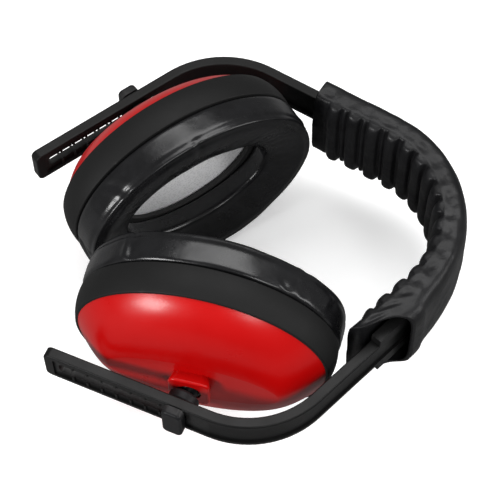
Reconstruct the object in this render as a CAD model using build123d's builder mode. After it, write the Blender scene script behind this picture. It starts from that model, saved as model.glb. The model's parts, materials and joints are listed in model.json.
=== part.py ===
from build123d import *
from math import acos, atan2, cos, hypot, radians, sin
import os

# Earmuff hearing protector lying on its side, in millimetres.
# The band's middle plane is XY: +X points to the crown, +Y to the left cup, +Z up.
# The origin is the centre of the whole object's bounding box.

# Moulded strap: straight slotted arm, bend, straight leg and crown arc, by its centre line
STRAP_HEIGHT = 16.0
STRAP_THICK = 4.6
ARM_TIP_Y = 45.0
ARM_ANGLE = radians(30.0)
ARM_LENGTH = 70.0
BEND_RADIUS = 37.0
CROWN_RADIUS = 50.0
CROWN_X = 83.0
TIP_ROUND = 2.6
EDGE_ROUND = 0.7
FLANGE_HEIGHT = 2.3
RECESS_DEPTH = 0.9
RECESS_START = 4.0
WIDE_EXTRA = 4.0
WIDE_LEG = 28.0

# Slot and notch ribs of each arm, measured along the arm from its tip
SLOT_START = 6.0
SLOT_END = 60.8
SLOT_HEIGHT = 5.2
SLOT_CORNER = 1.4
NOTCH_PITCH = 6.2
NOTCH_COUNT = 8
RIB_HEIGHT = 0.7
RIB_WIDTH = 0.9

# Vinyl sleeve over the crown and the foam pad inside it
SLEEVE_WIDTH = 42.0
SLEEVE_WALL = 1.0
SLEEVE_LEG = 34.0
SLEEVE_ROUND = 3.6
OUTER_GAP = 0.5
PAD_THICK = 5.8
PAD_GAP = 0.25
PAD_WIDTH = 39.0
PAD_LEG = 28.0

# Slider: T-head outside the arm, stem through the slot, collar inside the arm
STEM_LENGTH = 7.0
STEM_HEIGHT = 4.9
STEM_CORNER = 1.0
HEAD_LENGTH = 8.4
HEAD_HEIGHT = 16.6
HEAD_THICK = 3.8
HEAD_ROUND = 1.2
FACE_GAP = 0.15
COLLAR_RADIUS = 6.2
COLLAR_THICK = 4.6
COLLAR_ROUND = 1.2
PIN_RADIUS = 1.6
PIN_CAP_RADIUS = 2.2
PIN_CAP_THICK = 1.0
RUN_GAP = 0.05

# Ball stud and the spherical liner round its ball
BALL_RADIUS = 4.4
BALL_REACH = 9.6
STUD_NECK_RADIUS = 1.5
LINER_THICK = 1.3
LINER_MOUTH = 3.75
SOCKET_MOUTH = 3.9
MOUTH_FLARE = 1.9

# Cup, measured outward from the seam between cushion and rim
BALL_ABOVE_SEAM = 29.1
RIM_HALF_LENGTH = 52.6
RIM_HALF_WIDTH = 43.0
RIM_DEPTH = 13.0
RIM_TAPER = 1.4
RIM_BULGE = 0.3
RIM_EDGE_ROUND = 0.6
SHELL_HALF_LENGTH = 50.2
SHELL_HALF_WIDTH = 40.6
SHELL_START = 3.0
SHELL_WALL = 2.2
SHELL_GAP = 0.1
DOME_TOP = 27.0
DOME_MIDDLE = 20.8
MIDDLE_HALF_LENGTH = 43.2
MIDDLE_HALF_WIDTH = 33.2
FACE_HALF_LENGTH = 34.5
FACE_HALF_WIDTH = 12.5
FACE_ROUND = 2.4
NECK_TOP = 32.1
NECK_SIZE = 13.4
NECK_FLARE = 17.0
NECK_CORNER = 3.0
NECK_ROUND = 0.8
NECK_START = 24.6
BOSS_RADIUS = 7.6
BOSS_BOTTOM = 20.6
PLATE_THICK = 2.0
PLATE_GAP = 0.2
FOAM_SHEET_THICK = 10.0
FOAM_SHEET_MARGIN = 4.0

# Ear cushion
CUSHION_THICK = 15.4
CUSHION_HALF_LENGTH = 53.4
CUSHION_HALF_WIDTH = 43.8
HOLE_HALF_LENGTH = 30.0
HOLE_HALF_WIDTH = 20.0
CUSHION_ROUND = 7.0
SKIN_THICK = 0.8
CUSHION_GAP = 0.2
FOAM_GAP = 0.1

# Each side: direction across, place of the slider along its arm, angle of the cup in plan
SIDES = {
    "left": (1, 50.2, radians(26.0)),
    "right": (-1, 56.4, radians(20.0)),
}

# Worked out from the sizes above
sleeve_outside = STRAP_THICK / 2 + OUTER_GAP + SLEEVE_WALL
sleeve_inside = STRAP_THICK / 2 + PAD_GAP + PAD_THICK + PAD_GAP + SLEEVE_WALL
tip_trim = EDGE_ROUND * (sin(ARM_ANGLE) + cos(ARM_ANGLE) - 1)
arm_tip_x = STRAP_THICK / 2 * sin(ARM_ANGLE) - tip_trim - CROWN_X - sleeve_outside
arm_end = (arm_tip_x + ARM_LENGTH * cos(ARM_ANGLE), ARM_TIP_Y + ARM_LENGTH * sin(ARM_ANGLE))
bend_centre = (
    arm_end[0] + BEND_RADIUS * sin(ARM_ANGLE),
    arm_end[1] - BEND_RADIUS * cos(ARM_ANGLE),
)
crown_centre = (CROWN_X - CROWN_RADIUS, 0.0)
centre_span = (bend_centre[0] - crown_centre[0], bend_centre[1])
leg_angle = atan2(*centre_span) + acos((CROWN_RADIUS - BEND_RADIUS) / hypot(*centre_span))
recess_height = STRAP_HEIGHT - 2 * FLANGE_HEIGHT
socket_radius = BALL_RADIUS + LINER_THICK + 2 * RUN_GAP


def around(centre, radius, angle):
    """Point at a radius from a centre, with the angle turned from +Y towards +X."""
    return (centre[0] + radius * sin(angle), centre[1] + radius * cos(angle))


def across(point, side=-1):
    """The same point on the other side of the band's centre."""
    return (point[0], side * point[1])


def along_arm(distance, offset=0.0):
    """Point on the left arm, at a distance from its tip and an offset outward."""
    return (
        arm_tip_x + distance * cos(ARM_ANGLE) - offset * sin(ARM_ANGLE),
        ARM_TIP_Y + distance * sin(ARM_ANGLE) + offset * cos(ARM_ANGLE),
    )


def band_path(offset, leg=None, start=0.0):
    """Curve parallel to the strap, from one arm to the other, or from a leg to the other."""
    crown_start = around(crown_centre, CROWN_RADIUS + offset, leg_angle)
    if leg is None:
        bend_start = around(bend_centre, BEND_RADIUS + offset, -ARM_ANGLE)
        bend_middle = around(bend_centre, BEND_RADIUS + offset, (leg_angle - ARM_ANGLE) / 2)
        bend_end = around(bend_centre, BEND_RADIUS + offset, leg_angle)
        first = along_arm(start, offset)
        for side in (1, -1):
            Line(across(first, side), across(bend_start, side))
            ThreePointArc(
                across(bend_start, side), across(bend_middle, side), across(bend_end, side)
            )
            Line(across(bend_end, side), across(crown_start, side))
    else:
        first = (crown_start[0] - leg * cos(leg_angle), crown_start[1] + leg * sin(leg_angle))
        for side in (1, -1):
            Line(across(first, side), across(crown_start, side))
    ThreePointArc(crown_start, (CROWN_X + offset, 0.0), across(crown_start))
    return first


def ribbon(inner, outer, leg=None, start=0.0):
    """Closed outline between two parallel curves of the band."""
    inner_end = band_path(inner, leg, start)
    outer_end = band_path(outer, leg, start)
    for side in (1, -1):
        Line(across(inner_end, side), across(outer_end, side))


def arm_plane(side, distance, offset=0.0):
    """Plane on an arm: x along the arm, z outward."""
    x, y = along_arm(distance, offset)
    return Plane(
        origin=(x, side * y, 0),
        x_dir=(cos(ARM_ANGLE), side * sin(ARM_ANGLE), 0),
        z_dir=(-sin(ARM_ANGLE), side * cos(ARM_ANGLE), 0),
    )


def cup_plane(side, distance, angle, height):
    """Plane across a cup, at a height outward from its seam: x along the cup, z outward."""
    x, y = along_arm(distance, -STRAP_THICK / 2 - BALL_REACH)
    drop = BALL_ABOVE_SEAM - height
    return Plane(
        origin=(x + drop * sin(angle), side * (y - drop * cos(angle)), 0),
        x_dir=(cos(angle), side * sin(angle), 0),
        z_dir=(-sin(angle), side * cos(angle), 0),
    )


def long_edges(block, half_height):
    """Edges that run along the band on a block's upper and lower faces."""
    return block.edges().filter_by(
        lambda edge: abs(abs(edge.center().Z) - half_height) < 0.01
        and edge.length > sleeve_inside + sleeve_outside + 1
    )


def cushion_outline(inset):
    """Oval ring of the cushion, drawn in by an inset."""
    Ellipse(CUSHION_HALF_LENGTH - inset, CUSHION_HALF_WIDTH - inset)
    Ellipse(HOLE_HALF_LENGTH + inset, HOLE_HALF_WIDTH + inset, mode=Mode.SUBTRACT)


def outermost_face(block, plane):
    """Face of a block that lies farthest along a plane's normal."""
    return block.faces().sort_by(Axis(plane.origin, plane.z_dir))[-1]


def front_edges(block, seam):
    """Edges of a cushion block's face on the head side."""
    return block.faces().sort_by(Axis(seam.origin, seam.z_dir))[0].edges()


def finish(part, name):
    """Name a finished piece and write it."""
    part.label = name
    export_step(part, f"parts/{name}.step")


os.makedirs("parts", exist_ok=True)

# Strap: rounded ribbon with a channel along each broad face and a slot in each arm
with BuildPart() as headband_strap:
    with BuildSketch():
        with BuildLine():
            ribbon(-STRAP_THICK / 2, STRAP_THICK / 2)
        make_face()
    extrude(amount=STRAP_HEIGHT / 2, both=True)
    tips = headband_strap.edges().filter_by(
        lambda edge: abs(edge.center().Z) > STRAP_HEIGHT / 2 - 0.1
        and abs(edge.length - STRAP_THICK) < 0.01
    )
    fillet(tips, TIP_ROUND)
    fillet(long_edges(headband_strap, STRAP_HEIGHT / 2), EDGE_ROUND)
    with BuildSketch(mode=Mode.PRIVATE) as wide_plan:
        with BuildLine():
            ribbon(-STRAP_THICK / 2, STRAP_THICK / 2, leg=WIDE_LEG)
        make_face()
    extrude(wide_plan.sketch, amount=STRAP_HEIGHT / 2 + WIDE_EXTRA, both=True)
    for inner, outer in (
        (STRAP_THICK / 2 - RECESS_DEPTH, STRAP_THICK),
        (-STRAP_THICK, RECESS_DEPTH - STRAP_THICK / 2),
    ):
        with BuildSketch(mode=Mode.PRIVATE) as channel:
            with BuildLine():
                ribbon(inner, outer, start=RECESS_START)
            make_face()
        extrude(channel.sketch, amount=recess_height / 2, both=True, mode=Mode.SUBTRACT)
    for side in (1, -1):
        slot_middle = arm_plane(side, (SLOT_START + SLOT_END) / 2)
        with BuildSketch(slot_middle):
            RectangleRounded(SLOT_END - SLOT_START, SLOT_HEIGHT, SLOT_CORNER)
        extrude(amount=STRAP_THICK, both=True, mode=Mode.SUBTRACT)
        notch_row = arm_plane(side, SLOT_START + NOTCH_PITCH * (NOTCH_COUNT + 1) / 2)
        web = STRAP_THICK - 2 * RECESS_DEPTH + 2 * RIB_HEIGHT
        rib_length = (recess_height - SLOT_HEIGHT) / 2
        with BuildSketch(notch_row):
            with GridLocations(NOTCH_PITCH, SLOT_HEIGHT + rib_length, NOTCH_COUNT, 2):
                Rectangle(RIB_WIDTH, rib_length)
        extrude(amount=web / 2, both=True)
finish(headband_strap.part, "headband_strap")

# Pad: foam strip on the head side of the crown
with BuildPart() as headband_pad:
    pad_outer = -STRAP_THICK / 2 - PAD_GAP
    with BuildSketch():
        with BuildLine():
            ribbon(pad_outer - PAD_THICK, pad_outer, leg=PAD_LEG)
        make_face()
    extrude(amount=PAD_WIDTH / 2, both=True)
    fillet(long_edges(headband_pad, PAD_WIDTH / 2), SLEEVE_ROUND - SLEEVE_WALL)
finish(headband_pad.part, "headband_pad")

# Sleeve: vinyl tube round crown and pad, open at both ends
with BuildPart() as sleeve_bore:
    with BuildSketch():
        with BuildLine():
            ribbon(SLEEVE_WALL - sleeve_inside, sleeve_outside - SLEEVE_WALL, leg=SLEEVE_LEG + 1)
        make_face()
    extrude(amount=SLEEVE_WIDTH / 2 - SLEEVE_WALL, both=True)
    fillet(long_edges(sleeve_bore, SLEEVE_WIDTH / 2 - SLEEVE_WALL), SLEEVE_ROUND - SLEEVE_WALL)

with BuildPart() as headband_sleeve:
    with BuildSketch():
        with BuildLine():
            ribbon(-sleeve_inside, sleeve_outside, leg=SLEEVE_LEG)
        make_face()
    extrude(amount=SLEEVE_WIDTH / 2, both=True)
    fillet(long_edges(headband_sleeve, SLEEVE_WIDTH / 2), SLEEVE_ROUND)
    add(sleeve_bore.part, mode=Mode.SUBTRACT)
finish(headband_sleeve.part, "headband_sleeve")

for side_name, (side, slide, cup_angle) in SIDES.items():
    outer_face = STRAP_THICK / 2 + FACE_GAP
    head_face = arm_plane(side, slide, outer_face)

    # Slider: T-head with a hollow stem through the slot
    with BuildPart() as slider:
        with BuildSketch(head_face):
            RectangleRounded(HEAD_LENGTH, HEAD_HEIGHT, HEAD_ROUND * 2)
        extrude(amount=HEAD_THICK)
        fillet(outermost_face(slider, head_face).edges(), HEAD_ROUND)
        with BuildSketch(head_face):
            RectangleRounded(STEM_LENGTH, STEM_HEIGHT, STEM_CORNER)
        extrude(amount=-STRAP_THICK - 2 * FACE_GAP)
        with BuildSketch(arm_plane(side, slide, -outer_face)):
            Circle(PIN_RADIUS + RUN_GAP)
        extrude(amount=STRAP_THICK + FACE_GAP, mode=Mode.SUBTRACT)
        with BuildSketch(arm_plane(side, slide, outer_face - PIN_CAP_THICK - 2 * RUN_GAP)):
            Circle(PIN_CAP_RADIUS + RUN_GAP)
        extrude(amount=PIN_CAP_THICK + 2 * RUN_GAP, mode=Mode.SUBTRACT)
    finish(slider.part, f"{side_name}_slider_button")

    # Ball stud: headed pin in the slider, neck and ball
    with BuildPart() as ball_stud:
        with BuildSketch(arm_plane(side, slide, outer_face - RUN_GAP)):
            Circle(PIN_CAP_RADIUS)
        extrude(amount=-PIN_CAP_THICK)
        with BuildSketch(arm_plane(side, slide, outer_face - RUN_GAP)):
            Circle(PIN_RADIUS)
        extrude(amount=-STRAP_THICK - FACE_GAP - COLLAR_THICK)
        with BuildSketch(arm_plane(side, slide, outer_face - RUN_GAP)):
            Circle(STUD_NECK_RADIUS)
        extrude(amount=-STRAP_THICK - FACE_GAP - BALL_REACH)
        with Locations(arm_plane(side, slide, -STRAP_THICK / 2 - BALL_REACH)):
            Sphere(BALL_RADIUS)
    finish(ball_stud.part, f"{side_name}_ball_stud")

    # Collar: ring on the pin between the arm and the cup's neck
    with BuildPart() as collar:
        with BuildSketch(arm_plane(side, slide, -outer_face - RUN_GAP)):
            Circle(COLLAR_RADIUS)
            Circle(PIN_RADIUS + RUN_GAP, mode=Mode.SUBTRACT)
        extrude(amount=-COLLAR_THICK)
        fillet(collar.edges().filter_by(GeomType.CIRCLE).group_by(SortBy.RADIUS)[-1], COLLAR_ROUND)
    finish(collar.part, f"{side_name}_slider_collar")

    def place(height):
        return cup_plane(side, slide, cup_angle, height)

    # Liner: spherical bush round the ball, open towards the arm
    with BuildPart() as liner:
        with Locations(place(BALL_ABOVE_SEAM)):
            Sphere(BALL_RADIUS + RUN_GAP + LINER_THICK)
            Sphere(BALL_RADIUS + RUN_GAP, mode=Mode.SUBTRACT)
        with BuildSketch(place(BALL_ABOVE_SEAM + LINER_MOUTH / 2)):
            Circle(socket_radius)
        extrude(amount=socket_radius, mode=Mode.SUBTRACT)
    finish(liner.part, f"{side_name}_ball_liner")

    # Shell: dome with a long narrow outer face, flared neck and ball socket
    with BuildPart() as shell:
        for inset, floor in ((0.0, SHELL_START), (SHELL_WALL, SHELL_START - 1)):
            with BuildSketch(place(floor)):
                Ellipse(SHELL_HALF_LENGTH - inset, SHELL_HALF_WIDTH - inset)
            extrude(
                amount=RIM_DEPTH - floor, mode=Mode.ADD if inset == 0 else Mode.SUBTRACT
            )
            with BuildSketch(place(RIM_DEPTH)):
                Ellipse(SHELL_HALF_LENGTH - inset, SHELL_HALF_WIDTH - inset)
            with BuildSketch(place(DOME_MIDDLE - inset / 2)):
                Ellipse(MIDDLE_HALF_LENGTH - inset, MIDDLE_HALF_WIDTH - inset)
            with BuildSketch(place(DOME_TOP - inset)):
                Ellipse(FACE_HALF_LENGTH - inset, FACE_HALF_WIDTH - inset / 2)
            loft(mode=Mode.ADD if inset == 0 else Mode.SUBTRACT)
        fillet(outermost_face(shell, place(0)).edges(), FACE_ROUND)
        with BuildSketch(place(BOSS_BOTTOM)):
            Circle(BOSS_RADIUS)
        extrude(amount=NECK_START + 1 - BOSS_BOTTOM)
        with BuildSketch(place(NECK_START)):
            RectangleRounded(NECK_SIZE, NECK_SIZE, NECK_CORNER)
        with BuildSketch(place(NECK_TOP)):
            RectangleRounded(NECK_FLARE, NECK_FLARE, NECK_CORNER)
        loft()
        fillet(outermost_face(shell, place(0)).edges(), NECK_ROUND)
        with Locations(place(BALL_ABOVE_SEAM)):
            Sphere(socket_radius, mode=Mode.SUBTRACT)
        with BuildSketch(place(BALL_ABOVE_SEAM + SOCKET_MOUTH / 2)):
            Circle(SOCKET_MOUTH)
        with BuildSketch(place(NECK_TOP)):
            Circle(SOCKET_MOUTH + MOUTH_FLARE / 2)
        loft(mode=Mode.SUBTRACT)
    finish(shell.part, f"{side_name}_cup_shell")

    # Rim: black skirt round the base of the shell
    with BuildPart() as rim:
        for height, extra in ((0.0, 0.0), (RIM_DEPTH / 2, RIM_BULGE), (RIM_DEPTH, -RIM_TAPER)):
            with BuildSketch(place(height)):
                Ellipse(RIM_HALF_LENGTH + extra, RIM_HALF_WIDTH + extra)
        loft()
        fillet(rim.edges().filter_by(lambda edge: edge.is_closed), RIM_EDGE_ROUND)
        with BuildSketch(place(0)):
            Ellipse(SHELL_HALF_LENGTH + SHELL_GAP, SHELL_HALF_WIDTH + SHELL_GAP)
        extrude(amount=RIM_DEPTH, mode=Mode.SUBTRACT)
    finish(rim.part, f"{side_name}_cup_rim")

    # Cushion plate: flat ring inside the rim that carries the cushion
    with BuildPart() as plate:
        with BuildSketch(place(PLATE_GAP)):
            Ellipse(SHELL_HALF_LENGTH, SHELL_HALF_WIDTH)
            Ellipse(HOLE_HALF_LENGTH + 1, HOLE_HALF_WIDTH + 1, mode=Mode.SUBTRACT)
        extrude(amount=PLATE_THICK)
    finish(plate.part, f"{side_name}_cushion_plate")

    # Sheet of absorbing foam inside the cup
    with BuildPart() as foam_sheet:
        with BuildSketch(place(SHELL_START)):
            Ellipse(
                SHELL_HALF_LENGTH - FOAM_SHEET_MARGIN, SHELL_HALF_WIDTH - FOAM_SHEET_MARGIN
            )
        extrude(amount=FOAM_SHEET_THICK)
    finish(foam_sheet.part, f"{side_name}_foam_liner")

    # Cushion: foam ring rounded on the head side, and the skin over it, open towards the plate
    with BuildPart() as hollow:
        with BuildSketch(place(-CUSHION_GAP)):
            cushion_outline(SKIN_THICK)
        extrude(amount=SKIN_THICK - CUSHION_THICK)
        fillet(front_edges(hollow, place(0)), CUSHION_ROUND - SKIN_THICK)

    with BuildPart() as skin:
        with BuildSketch(place(-CUSHION_GAP)):
            cushion_outline(0.0)
        extrude(amount=-CUSHION_THICK)
        fillet(front_edges(skin, place(0)), CUSHION_ROUND)
        add(hollow.part, mode=Mode.SUBTRACT)
    finish(skin.part, f"{side_name}_cushion_skin")

    with BuildPart() as cushion_foam:
        inset = SKIN_THICK + FOAM_GAP
        with BuildSketch(place(-CUSHION_GAP)):
            cushion_outline(inset)
        extrude(amount=inset - CUSHION_THICK)
        fillet(front_edges(cushion_foam, place(0)), CUSHION_ROUND - inset)
    finish(cushion_foam.part, f"{side_name}_cushion_foam")
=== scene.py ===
import json
from math import acos, atan2, cos, hypot, pi, radians, sin

import bmesh
import bpy
import numpy as np
from mathutils import Matrix, Vector, noise


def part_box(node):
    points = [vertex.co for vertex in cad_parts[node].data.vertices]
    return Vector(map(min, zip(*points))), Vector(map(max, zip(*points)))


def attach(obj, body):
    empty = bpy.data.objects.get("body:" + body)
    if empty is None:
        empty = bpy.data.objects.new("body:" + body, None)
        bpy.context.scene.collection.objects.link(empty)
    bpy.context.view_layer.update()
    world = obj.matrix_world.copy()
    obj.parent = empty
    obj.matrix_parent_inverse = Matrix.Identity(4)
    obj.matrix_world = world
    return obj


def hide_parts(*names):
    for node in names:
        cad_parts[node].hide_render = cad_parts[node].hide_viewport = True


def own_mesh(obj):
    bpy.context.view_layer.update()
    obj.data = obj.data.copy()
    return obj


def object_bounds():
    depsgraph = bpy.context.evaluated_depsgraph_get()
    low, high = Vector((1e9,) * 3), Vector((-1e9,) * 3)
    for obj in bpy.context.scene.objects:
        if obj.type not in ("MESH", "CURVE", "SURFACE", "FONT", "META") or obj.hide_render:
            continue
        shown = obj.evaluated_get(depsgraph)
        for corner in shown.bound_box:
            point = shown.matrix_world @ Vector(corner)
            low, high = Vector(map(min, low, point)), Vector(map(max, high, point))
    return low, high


MM = 0.001

# Camera, as a turn round the object and a distance from the point it looks at
CAMERA_AZIMUTH = radians(-5.9)
CAMERA_ELEVATION = radians(59.8)
CAMERA_ROLL = radians(0.5)
CAMERA_DISTANCE = 784.6 * MM
CAMERA_TARGET = Vector((1.5, 23.4, -48.9)) * MM
CAMERA_FOCAL = 1796.5 / 500 * 36
WORLD_LIGHT = 0.19
FLOOR_BOUNCE = 0.22
FLOOR_GLOW = 0.35

# Sleeve over the crown: its section, ribs and gathers
CROWN_RADIUS = 50.0 * MM
SLEEVE_OUT = 3.8 * MM
SLEEVE_IN = 9.4 * MM
SLEEVE_HALF_WIDTH = 20.0 * MM
SLEEVE_DROP = 0.8 * MM
SLEEVE_SKIN = 1.1 * MM
SLEEVE_CORNER_POWER = 4.2
RIB_PITCH = 9.2 * MM
RIB_BULGE = 1.3 * MM
GATHER_DEPTH = 2.1 * MM
GATHER_WIDTH = 0.5 * MM
GATHER_HALF_GAP_LEG = 1.35 * MM
GATHER_HALF_GAP_CROWN = 0.8 * MM
NEAR_CUT = 20.0 * MM
NEAR_GAPE = 4.0 * MM

# Cushion: oval ring, its profile and creases
HOLE_HALF_LENGTH = 33.0 * MM
HOLE_HALF_WIDTH = 20.0 * MM
CUSHION_SINK = 0.6 * MM
RIDGE_HEIGHT = 0.9 * MM
RIDGE_WIDTH = 0.7 * MM
SWELL_CAP = 2.2 * MM
SEAM_POWER = 0.22
FRONT_POWER = 0.50
FRONT_SLOPE = 0.28


def smooth(value, low, high):
    """Smooth step from 0 at low to 1 at high."""
    t = np.clip((value - low) / (high - low), 0.0, 1.0)
    return t * t * (3 - 2 * t)


def bell(distance, width):
    """Gaussian bell of unit height."""
    return np.exp(-0.5 * (distance / width) ** 2)


def noise_at(points, scale, seed=0.0):
    """Smooth noise between about -1 and 1 at each point, with features of the given size."""
    return np.array([noise.noise(Vector(p) / scale + Vector((seed, seed, seed))) for p in points])


# ---------------------------------------------------------------- materials


class Nodes:
    """Short way to build a procedural material round one Principled node."""

    def __init__(self, name):
        self.material = bpy.data.materials.new(name)
        self.material.use_nodes = True
        self.tree = self.material.node_tree
        self.shader = self.tree.nodes["Principled BSDF"]
        self.place = self.add("ShaderNodeTexCoord").outputs["Object"]

    def add(self, kind, **values):
        node = self.tree.nodes.new(kind)
        for key, value in values.items():
            if key in node.inputs:
                node.inputs[key].default_value = value
            else:
                setattr(node, key, value)
        return node

    def link(self, source, target):
        self.tree.links.new(source, target)

    def noise(self, scale, detail=4.0, roughness=0.55):
        node = self.add("ShaderNodeTexNoise", Scale=scale, Detail=detail, Roughness=roughness)
        self.link(self.place, node.inputs["Vector"])
        return node.outputs["Fac"]

    def cells(self, scale, feature="F1"):
        node = self.add("ShaderNodeTexVoronoi", Scale=scale, feature=feature)
        self.link(self.place, node.inputs["Vector"])
        return node.outputs["Distance"]

    def ramp(self, source, low, high, first, last):
        """Map a value between low and high to a range between first and last."""
        node = self.add("ShaderNodeMapRange")
        for socket, value in zip(node.inputs[1:5], (low, high, first, last)):
            socket.default_value = value
        self.link(source, node.inputs[0])
        return node.outputs[0]

    def mix(self, factor, first, second):
        node = self.add("ShaderNodeMix", data_type="RGBA")
        node.inputs["A"].default_value = (*first, 1)
        node.inputs["B"].default_value = (*second, 1)
        self.link(factor, node.inputs["Factor"])
        return node.outputs["Result"]

    def bump(self, height, strength, distance, below=None):
        node = self.add("ShaderNodeBump", Strength=strength, Distance=distance)
        self.link(height, node.inputs["Height"])
        if below is not None:
            self.link(below, node.inputs["Normal"])
        self.link(node.outputs["Normal"], self.shader.inputs["Normal"])
        return node.outputs["Normal"]

    def worn_edges(self):
        """Factor that is 1 on convex edges and 0 elsewhere."""
        geometry = self.add("ShaderNodeNewGeometry")
        return self.ramp(geometry.outputs["Pointiness"], 0.53, 0.60, 0.0, 1.0)

    def set(self, **values):
        for key, value in values.items():
            self.shader.inputs[key.replace("_", " ")].default_value = value


def moulded(name, colour, worn, roughness, grain=0.12, coat=0.0):
    """Moulded plastic: fine grain, uneven gloss, faint scuffs and paler worn edges."""
    n = Nodes(name)
    edge = n.worn_edges()
    n.link(n.mix(edge, colour, worn), n.shader.inputs["Base Color"])
    uneven = n.ramp(n.noise(60, 6), 0.3, 0.7, roughness - 0.05, roughness + 0.07)
    n.link(uneven, n.shader.inputs["Roughness"])
    fine = n.bump(n.noise(2600, 3), grain, 0.00012)
    n.bump(n.noise(140, 3), 0.05, 0.001, fine)
    n.set(Coat_Weight=coat, Coat_Roughness=0.12, Specular_IOR_Level=0.15)
    return n.material


def red_shell():
    """Red glossy moulding with a soft clear surface and slight waviness."""
    n = Nodes("red_shell")
    tint = n.ramp(n.noise(22, 3), 0.3, 0.7, 0.0, 1.0)
    n.link(n.mix(tint, (0.44, 0.001, 0.001), (0.50, 0.002, 0.002)), n.shader.inputs["Base Color"])
    uneven = n.ramp(n.noise(90, 6), 0.3, 0.7, 0.27, 0.36)
    n.link(uneven, n.shader.inputs["Roughness"])
    fine = n.bump(n.noise(1800, 3), 0.07, 0.0001)
    n.bump(n.noise(45, 2), 0.06, 0.002, fine)
    n.set(Coat_Weight=0.20, Coat_Roughness=0.22, Specular_IOR_Level=0.2)
    return n.material


def vinyl(name, colour, roughness, grain, wrinkle, coat):
    """Vinyl: leather-like cells, soft wrinkles and an uneven sheen."""
    n = Nodes(name)
    tint = n.ramp(n.noise(120, 5), 0.35, 0.7, 0.0, 1.0)
    paler = tuple(c * 1.7 + 0.001 for c in colour)
    n.link(n.mix(tint, colour, paler), n.shader.inputs["Base Color"])
    uneven = n.ramp(n.noise(70, 6), 0.3, 0.7, roughness - 0.06, roughness + 0.10)
    n.link(uneven, n.shader.inputs["Roughness"])
    cells = n.bump(n.cells(1500, "DISTANCE_TO_EDGE"), grain, 0.00018)
    n.bump(n.noise(210, 5, 0.62), wrinkle, 0.0010, cells)
    n.set(Coat_Weight=coat, Coat_Roughness=0.18, Specular_IOR_Level=0.22)
    return n.material


def foam(name, colour, shade):
    """Open-cell foam: dark pores in a pale matte body."""
    n = Nodes(name)
    pores = n.ramp(n.cells(1100), 0.1, 0.55, 0.0, 1.0)
    n.link(n.mix(pores, shade, colour), n.shader.inputs["Base Color"])
    coarse = n.bump(n.noise(260, 5), 0.15, 0.0006)
    n.bump(n.cells(1100), 0.35, 0.0003, coarse)
    n.set(Roughness=0.95, Specular_IOR_Level=0.2, Sheen_Weight=0.2)
    return n.material


def make_materials():
    return {
        "band_plastic": moulded("band_plastic", (0.006, 0.006, 0.006), (0.02, 0.02, 0.02), 0.40, 0.16),
        "slider_plastic": moulded("slider_plastic", (0.010, 0.010, 0.011), (0.03, 0.03, 0.03), 0.42, 0.16),
        "stud_plastic": moulded("stud_plastic", (0.010, 0.010, 0.011), (0.03, 0.03, 0.03), 0.34, 0.08),
        "liner_plastic": moulded("liner_plastic", (0.09, 0.09, 0.09), (0.15, 0.15, 0.15), 0.36, 0.08),
        "rim_plastic": moulded("rim_plastic", (0.009, 0.009, 0.009), (0.02, 0.02, 0.02), 0.58, 0.22),
        "plate_plastic": moulded("plate_plastic", (0.015, 0.015, 0.015), (0.03, 0.03, 0.03), 0.5, 0.2),
        "red_shell": red_shell(),
        "sleeve_vinyl": vinyl("sleeve_vinyl", (0.004, 0.004, 0.0045), 0.45, 0.20, 0.30, 0.06),
        "cushion_vinyl": vinyl("cushion_vinyl", (0.005, 0.005, 0.0055), 0.28, 0.08, 0.18, 0.28),
        "grey_foam": foam("grey_foam", (0.90, 0.90, 0.91), (0.66, 0.66, 0.67)),
        "pad_foam": foam("pad_foam", (0.05, 0.05, 0.052), (0.012, 0.012, 0.012)),
    }


def paint(piece, material):
    piece.data.materials.clear()
    piece.data.materials.append(material)


# ---------------------------------------------------------------- mesh helpers


def new_mesh(name, points, faces):
    """Smooth-shaded closed object from points and faces, with its normals outward."""
    mesh = bpy.data.meshes.new(name)
    mesh.from_pydata([tuple(p) for p in points], [], faces)
    work = bmesh.new()
    work.from_mesh(mesh)
    bmesh.ops.recalc_face_normals(work, faces=work.faces)
    work.to_mesh(mesh)
    work.free()
    for polygon in mesh.polygons:
        polygon.use_smooth = True
    piece = bpy.data.objects.new(name, mesh)
    bpy.context.scene.collection.objects.link(piece)
    return piece


def coordinates(piece):
    co = np.empty(len(piece.data.vertices) * 3)
    piece.data.vertices.foreach_get("co", co)
    return co.reshape(-1, 3)


def set_coordinates(piece, co):
    piece.data.vertices.foreach_set("co", np.asarray(co, float).ravel())
    piece.data.update()


def vertex_normals(piece):
    return np.array([v.normal for v in piece.data.vertices])


def apply_modifiers(piece):
    """Keep what the modifiers make as the piece's own mesh."""
    depsgraph = bpy.context.evaluated_depsgraph_get()
    result = bpy.data.meshes.new_from_object(piece.evaluated_get(depsgraph))
    piece.modifiers.clear()
    piece.data = result
    for polygon in result.polygons:
        polygon.use_smooth = True


def subdivide(piece, levels=1):
    piece.modifiers.new("subdivision", "SUBSURF").levels = levels
    piece.modifiers["subdivision"].render_levels = levels
    apply_modifiers(piece)


def even_loop(x, y, count):
    """Points spaced evenly along a closed curve."""
    x, y = np.append(x, x[0]), np.append(y, y[0])
    walk = np.concatenate([[0], np.cumsum(np.hypot(np.diff(x), np.diff(y)))])
    at = np.linspace(0, walk[-1], count, endpoint=False)
    return np.interp(at, walk, x), np.interp(at, walk, y)


def grid_faces(rows, columns, wrap_rows, wrap_columns, start=0):
    """Quads over a grid of points stored row by row."""
    faces = []
    for i in range(rows if wrap_rows else rows - 1):
        for j in range(columns if wrap_columns else columns - 1):
            k, m = (i + 1) % rows, (j + 1) % columns
            faces.append(
                (start + i * columns + j, start + i * columns + m, start + k * columns + m, start + k * columns + j)
            )
    return faces


# ---------------------------------------------------------------- sleeve


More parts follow.
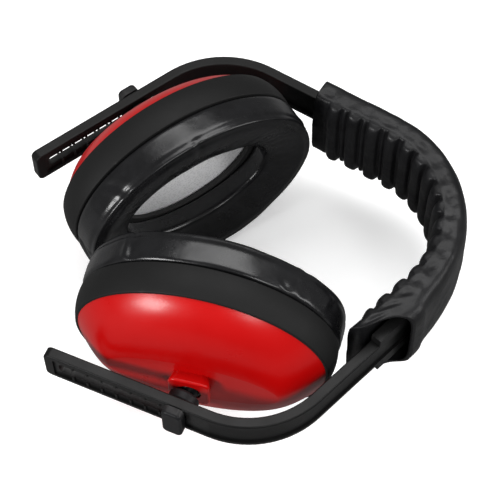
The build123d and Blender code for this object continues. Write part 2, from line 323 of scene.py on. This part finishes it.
class Band:
    """Centre line of the strap under the sleeve, worked out from the sleeve's CAD box."""

    def __init__(self):
        low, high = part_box("headband_sleeve")
        outer = CROWN_RADIUS + SLEEVE_OUT
        self.centre_x = high.x - outer
        # The corner farthest across is the outer end of a leg; its outer wall is tangent to the crown
        node = frame["nodes"]["headband_sleeve"]
        corner = max((v.co for v in node.data.vertices), key=lambda co: co.y)
        reach = hypot(corner.x - self.centre_x, corner.y)
        self.lean = atan2(corner.x - self.centre_x, corner.y) + acos(outer / reach)
        self.leg = (reach**2 - outer**2) ** 0.5
        self.arc = CROWN_RADIUS * (pi - 2 * self.lean)
        self.length = 2 * self.leg + self.arc

    def frame_at(self, s):
        """Centre-line point, direction along and direction outward, for arrays of distances."""
        angle = np.clip((s - self.leg) / CROWN_RADIUS, 0, pi - 2 * self.lean) + self.lean
        beyond = np.minimum(s - self.leg, 0) + np.maximum(s - self.leg - self.arc, 0)
        outward = np.stack([np.sin(angle), np.cos(angle), 0 * angle], -1)
        along = np.stack([np.cos(angle), -np.sin(angle), 0 * angle], -1)
        middle = np.array([self.centre_x, 0, 0]) + CROWN_RADIUS * outward + beyond[..., None] * along
        return middle, along, outward


def section(out, inn, half_width, count):
    """Rounded rectangle: offsets outward and heights, and its outward normals."""
    t = np.linspace(0, 2 * pi, 2000, endpoint=False)
    power = 2 / SLEEVE_CORNER_POWER
    offset = (out - inn) / 2 + (out + inn) / 2 * np.sign(np.sin(t)) * np.abs(np.sin(t)) ** power
    height = half_width * np.sign(np.cos(t)) * np.abs(np.cos(t)) ** power
    offset, height = even_loop(offset, height, count)
    dx, dz = np.roll(offset, -1) - np.roll(offset, 1), np.roll(height, -1) - np.roll(height, 1)
    size = np.hypot(dx, dz)
    return offset, height, -dz / size, dx / size


def gathers(band, s):
    """Height of the ribs and gathered grooves along the padded side."""
    count = round(band.length / RIB_PITCH)
    pitch = band.length / count
    x = (s / pitch - np.floor(s / pitch) - 0.5) * pitch
    at_crown = smooth(s, band.leg * 0.6, band.leg + 18 * MM) * smooth(
        band.length - s, band.leg * 0.6, band.leg + 18 * MM
    )
    gap = GATHER_HALF_GAP_LEG + (GATHER_HALF_GAP_CROWN - GATHER_HALF_GAP_LEG) * at_crown
    dips = bell(x - gap, GATHER_WIDTH) + bell(x + gap, GATHER_WIDTH)
    swell = 1 - (1 - np.abs(x) / (pitch / 2)) ** 2
    inside_end = smooth(s, 5 * MM, 9 * MM) * smooth(band.length - s, 5 * MM, 12 * MM)
    return (RIB_BULGE * swell - GATHER_DEPTH * dips) * inside_end, bell(x, 2.2 * MM)


def make_sleeve(material):
    """Gathered vinyl sleeve: ribbed on the head side, smooth outside, open at both ends."""
    band = Band()
    rows, columns = 340, 132
    s = np.linspace(0, band.length, rows)[:, None]
    layers = []
    for inner_layer in (False, True):
        skin = SLEEVE_SKIN if inner_layer else 0.0
        inn = 3.9 * MM if inner_layer else SLEEVE_IN
        offset, height, normal_out, normal_up = section(
            SLEEVE_OUT - skin, inn, SLEEVE_HALF_WIDTH - 1.2 * skin, columns
        )
        outer_wall = smooth(offset, -7.0 * MM, SLEEVE_OUT)[None, :]
        near = smooth(s, band.length - 52 * MM, band.length)
        walk = s - NEAR_CUT * near * outer_wall * smooth(s, band.length - 46 * MM, band.length)
        middle, along, outward = band.frame_at(walk)
        far_end = smooth(band.length - s, 0, 60 * MM)
        push = np.zeros((rows, columns))
        if not inner_layer:
            ribs, pucker = gathers(band, s)
            upper = smooth(-normal_out, 0.55, 0.97)
            lower = np.maximum(
                smooth(-normal_out, 0.25, 0.9), 0.8 * smooth(-normal_up, 0.3, 0.9) * smooth(-offset, 3.0 * MM, 8.0 * MM)
            )
            push += ribs * np.where(normal_up > 0, upper, lower)[None, :]
            dimple = bell(-offset - 4.2 * MM, 1.3 * MM) * smooth(np.abs(normal_up), 0.4, 0.9)
            push -= 0.55 * MM * pucker * dimple[None, :]
        gape = NEAR_GAPE * near * smooth(offset, -1 * MM, SLEEVE_OUT)[None, :]
        o = offset[None, :] + push * normal_out[None, :] + gape
        z = height[None, :] + push * normal_up[None, :] - SLEEVE_DROP * far_end
        points = middle + o[..., None] * outward
        points[..., 2] = z
        layers.append(points.reshape(-1, 3))
    outer, bore = layers
    n = rows * columns
    side_wall = 1 - np.abs(np.tile(section(SLEEVE_OUT, SLEEVE_IN, SLEEVE_HALF_WIDTH, columns)[2], rows))
    rough = noise_at(outer, 7 * MM) * 0.35 * MM + noise_at(outer, 3 * MM, 5.0) * 0.22 * MM * side_wall
    middle = band.frame_at(np.repeat(s.ravel(), columns))[0]
    away = outer - middle
    away /= np.linalg.norm(away, axis=1)[:, None]
    outer = outer + away * rough[:, None]
    faces = grid_faces(rows, columns, False, True) + grid_faces(rows, columns, False, True, n)
    for row in (0, rows - 1):
        for j in range(columns):
            m = (j + 1) % columns
            faces.append((row * columns + j, row * columns + m, n + row * columns + m, n + row * columns + j))
    sleeve = new_mesh("crown_sleeve", np.vstack([outer, bore]), faces)
    paint(sleeve, material)
    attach(sleeve, "headband")
    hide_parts("headband_sleeve", "headband_pad")
    return sleeve


# ---------------------------------------------------------------- cups


class Cup:
    """Place of one cup: its ball, long axis and outward direction, from the joints."""

    def __init__(self, side):
        joint = next(j for j in frame["joints"] if j["name"] == f"{side}_cup_nod")
        self.side = side
        self.ball = np.array(joint["pos_m"], float)
        self.long = np.array(joint["axis"], float)
        self.out = np.cross((0, 0, 1), self.long) * (1 if side == "left" else -1)
        self.up = np.array((0.0, 0.0, 1.0))

    def span(self, node, direction):
        """Lowest and highest reach of a node along a direction, from the ball."""
        reach = (coordinates(frame["nodes"][f"{self.side}_{node}"]) - self.ball) @ direction
        return reach.min(), reach.max()

    def points(self, x, z, depth):
        """Frame points from places along the cup, up it, and outward of the ball."""
        return self.ball + x[:, None] * self.long + z[:, None] * self.up + depth[:, None] * self.out


def cushion_profile(count):
    """Closed ring section: share of the way from hole to outer edge, and share of the depth."""
    t = np.linspace(0, 2 * pi, 1600, endpoint=False)
    c, s = np.cos(t), np.sin(t)
    # Nearly square where it meets the rim, rounder on the head side
    power = np.where(s < 0, SEAM_POWER, FRONT_POWER)
    across = 0.5 + 0.5 * np.sign(c) * np.abs(c) ** power
    depth = 0.5 + 0.5 * np.sign(s) * np.abs(s) ** power
    # The front slopes down towards the hole
    depth = depth - FRONT_SLOPE * smooth(1 - across, 0.1, 1.0) * depth**2
    return even_loop(across, depth, count)


def swell(piece, pins):
    """Blow the closed skin up with a short cloth simulation and keep its result."""
    group = piece.vertex_groups.new(name="pins")
    group.add([int(i) for i in pins], 1.0, "REPLACE")
    rest = coordinates(piece)
    cloth = piece.modifiers.new("cloth", "CLOTH")
    settings = cloth.settings
    settings.quality = 6
    settings.mass = 0.15
    settings.use_pressure = True
    settings.uniform_pressure_force = 4.0
    settings.tension_stiffness = 12
    settings.compression_stiffness = 12
    settings.bending_stiffness = 0.4
    settings.vertex_group_mass = "pins"
    settings.effector_weights.gravity = 0
    cloth.point_cache.frame_start = 1
    cloth.point_cache.frame_end = 20
    for step in range(1, 21):
        bpy.context.scene.frame_set(step)
    apply_modifiers(piece)
    bpy.context.scene.frame_set(1)
    moved = coordinates(piece) - rest
    length = np.linalg.norm(moved, axis=1)
    share = SWELL_CAP * np.tanh(length / SWELL_CAP) / np.maximum(length, 1e-9)
    set_coordinates(piece, rest + moved * share[:, None])
    piece.vertex_groups.clear()


def creases(rng, count, turn, across, depth):
    """Dents of a few soft folds that run over the side of the cushion."""
    dent = np.zeros_like(turn)
    for _ in range(count):
        at, lean = rng.uniform(0, 2 * pi), rng.uniform(-0.5, 0.5)
        width, size = rng.uniform(0.012, 0.03), rng.uniform(0.35, 0.9) * MM
        low, high = sorted(rng.uniform(0.0, 1.0, 2))
        off = (turn - at - lean * (depth - 0.5) * 0.3 + pi) % (2 * pi) - pi
        window = smooth(depth, low - 0.15, low + 0.1) * (1 - smooth(depth, high + 0.1, high + 0.3))
        dent += size * (bell(off, width) - 0.6 * bell(off - 2.4 * width, width)) * window
    return dent * smooth(across, 0.45, 0.75)


def make_cushion(cup, material):
    """Welded vinyl ear cushion: a crowned oval ring with a raised weld round its front."""
    rows, columns = 200, 60
    low, high = cup.span("cushion_skin", cup.out)
    half_length = cup.span("cushion_skin", cup.long)[1] - CUSHION_SINK
    half_width = cup.span("cushion_skin", cup.up)[1] - CUSHION_SINK
    across, depth = cushion_profile(columns)
    turn = np.linspace(0, 2 * pi, rows, endpoint=False)
    a = HOLE_HALF_LENGTH + across[None, :] * (half_length - HOLE_HALF_LENGTH)
    b = HOLE_HALF_WIDTH + across[None, :] * (half_width - HOLE_HALF_WIDTH)
    x = (a * np.cos(turn)[:, None]).ravel()
    z = (b * np.sin(turn)[:, None]).ravel()
    down = np.tile(high - depth * (high - low - CUSHION_SINK), rows)
    piece = new_mesh(f"{cup.side}_ear_cushion", cup.points(x, z, down), grid_faces(rows, columns, True, True))
    swell(piece, np.flatnonzero(np.tile(depth, rows) < 0.04))
    # Weld and folds are laid on after the swelling
    turns, acrosses, depths = np.repeat(turn, columns), np.tile(across, rows), np.tile(depth, rows)
    weld = np.argmin(np.hypot(across - 0.95, depth - 0.90))
    walk = np.arange(columns) - weld
    step = np.hypot(np.diff(across * 0.0235), np.diff(depth * 0.0155)).mean()
    ridge = RIDGE_HEIGHT * bell(walk * step, RIDGE_WIDTH) - 0.4 * RIDGE_HEIGHT * bell(
        np.abs(walk * step) - 2.6 * RIDGE_WIDTH, RIDGE_WIDTH
    )
    rng = np.random.default_rng(7 if cup.side == "left" else 11)
    dent = creases(rng, 9, turns, acrosses, depths)
    co, normals = coordinates(piece), vertex_normals(piece)
    wave = noise_at(co, 22 * MM, 3.0) * 0.5 * MM + noise_at(co, 9 * MM) * 0.22 * MM
    free = smooth(depths, 0.03, 0.2)
    push = np.tile(ridge, rows) - dent + wave
    set_coordinates(piece, co + normals * (push * free)[:, None])
    subdivide(piece)
    paint(piece, material)
    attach(piece, f"{cup.side}_cup")
    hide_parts(f"{cup.side}_cushion_skin", f"{cup.side}_cushion_foam")
    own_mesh(piece)
    return piece


def make_foam_sheet(cup, material):
    """Cut foam sheet inside the cup, soft at its edge and crowned towards the ear."""
    rows, columns = 120, 46
    low, high = cup.span("foam_liner", cup.out)
    half_length = cup.span("foam_liner", cup.long)[1]
    half_width = cup.span("foam_liner", cup.up)[1]
    t = np.linspace(0, pi, columns)
    reach = np.sin(t) ** 0.35
    level = -np.sign(np.cos(t)) * np.abs(np.cos(t)) ** 0.5
    turn = np.linspace(0, 2 * pi, rows, endpoint=False)
    x = (half_length * reach[None, 1:-1] * np.cos(turn)[:, None]).ravel()
    z = (half_width * reach[None, 1:-1] * np.sin(turn)[:, None]).ravel()
    middle, half = (low + high) / 2, (high - low) / 2
    crown = 1.0 - 0.12 * reach[1:-1] ** 2
    depth = np.tile(middle + half * level[1:-1] * crown, rows)
    ring = columns - 2
    points = cup.points(x, z, depth)
    points = points + cup.out * (noise_at(points, 12 * MM, 9.0) * 0.5 * MM)[:, None]
    ends = cup.points(np.zeros(2), np.zeros(2), np.array([low, high]))
    faces = grid_faces(rows, ring, True, False)
    first, last = len(points), len(points) + 1
    for i in range(rows):
        k = (i + 1) % rows
        faces.append((first, k * ring, i * ring))
        faces.append((last, i * ring + ring - 1, k * ring + ring - 1))
    piece = new_mesh(f"{cup.side}_absorbing_foam", np.vstack([points, ends]), faces)
    paint(piece, material)
    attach(piece, f"{cup.side}_cup")
    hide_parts(f"{cup.side}_foam_liner")
    return piece


# ---------------------------------------------------------------- stage


def make_stage(low, high):
    """Pale floor, soft lights and the camera."""
    bpy.ops.mesh.primitive_plane_add(size=12, location=(0, 0, low[2] - 0.5 * MM))
    floor = bpy.context.object
    floor.name = "floor"
    n = Nodes("floor_paper")
    paper = n.mix(n.noise(30, 3), (0.93, 0.93, 0.93), (0.95, 0.95, 0.95))
    straight = n.add("ShaderNodeLightPath").outputs["Is Camera Ray"]
    shown = n.add("ShaderNodeMix", data_type="RGBA")
    shown.inputs["A"].default_value = (FLOOR_BOUNCE, FLOOR_BOUNCE, FLOOR_BOUNCE, 1)
    n.link(straight, shown.inputs["Factor"])
    n.link(paper, shown.inputs["B"])
    n.link(shown.outputs["Result"], n.shader.inputs["Base Color"])
    reach = n.add("ShaderNodeVectorMath", operation="LENGTH")
    n.link(n.place, reach.inputs[0])
    glow = n.add("ShaderNodeMath", operation="MULTIPLY")
    n.link(n.ramp(reach.outputs["Value"], 0.4, 2.0, FLOOR_GLOW, 0.8), glow.inputs[0])
    n.link(straight, glow.inputs[1])
    n.link(glow.outputs["Value"], n.shader.inputs["Emission Strength"])
    n.set(Roughness=0.9, Specular_IOR_Level=0.1, Emission_Color=(1, 1, 1, 1))
    paint(floor, n.material)

    world = bpy.data.worlds.new("studio")
    bpy.context.scene.world = world
    world.use_nodes = True
    tree = world.node_tree
    seen = tree.nodes.new("ShaderNodeLightPath")
    level = tree.nodes.new("ShaderNodeMapRange")
    level.inputs["To Min"].default_value = WORLD_LIGHT
    level.inputs["To Max"].default_value = 1.0
    tree.links.new(seen.outputs["Is Camera Ray"], level.inputs["Value"])
    tree.nodes["Background"].inputs["Color"].default_value = (1, 1, 1, 1)
    tree.links.new(level.outputs["Result"], tree.nodes["Background"].inputs["Strength"])
    bpy.context.scene.view_settings.view_transform = "Standard"

    def softbox(name, place, size, power):
        light = bpy.data.lights.new(name, "AREA")
        light.shape = "RECTANGLE"
        light.size, light.size_y = size
        light.energy = power
        lamp = bpy.data.objects.new(name, light)
        bpy.context.scene.collection.objects.link(lamp)
        lamp.location = place
        lamp.rotation_euler = (-Vector(place)).to_track_quat("-Z", "Y").to_euler()

    softbox("key", (-0.88, -0.52, 0.50), (0.34, 0.34), 10)
    softbox("top", (0.1, 0.35, 0.95), (0.9, 0.5), 8)
    softbox("side", (0.9, -0.25, 0.5), (0.3, 0.7), 5)
    softbox("front", (0.25, -0.75, 0.75), (0.3, 0.3), 3)

    back = Vector(
        (
            sin(CAMERA_AZIMUTH) * cos(CAMERA_ELEVATION),
            -cos(CAMERA_AZIMUTH) * cos(CAMERA_ELEVATION),
            sin(CAMERA_ELEVATION),
        )
    )
    camera = bpy.data.objects.new("camera", bpy.data.cameras.new("camera"))
    bpy.context.scene.collection.objects.link(camera)
    turn = back.to_track_quat("Z", "Y").to_matrix().to_4x4() @ Matrix.Rotation(-CAMERA_ROLL, 4, "Z")
    camera.matrix_world = Matrix.Translation(CAMERA_TARGET + back * CAMERA_DISTANCE) @ turn
    camera.data.lens = CAMERA_FOCAL
    camera.data.sensor_width = 36
    bpy.context.scene.camera = camera


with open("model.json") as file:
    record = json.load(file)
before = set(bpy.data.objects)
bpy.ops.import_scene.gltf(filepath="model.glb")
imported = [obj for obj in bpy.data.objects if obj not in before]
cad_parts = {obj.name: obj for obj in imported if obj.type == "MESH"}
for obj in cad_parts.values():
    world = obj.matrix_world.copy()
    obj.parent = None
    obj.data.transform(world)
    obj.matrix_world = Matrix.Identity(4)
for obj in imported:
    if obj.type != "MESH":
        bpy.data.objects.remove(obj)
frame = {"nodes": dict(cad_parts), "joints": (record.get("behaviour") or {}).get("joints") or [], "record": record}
cad_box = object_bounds()
materials = make_materials()
for subpart in frame["record"]["subparts"]:
    paint(frame["nodes"][subpart["node"]], materials[subpart["material_slot"]])
make_sleeve(materials["sleeve_vinyl"])
for side in ("left", "right"):
    cup = Cup(side)
    make_cushion(cup, materials["cushion_vinyl"])
    make_foam_sheet(cup, materials["grey_foam"])
make_stage(*cad_box)
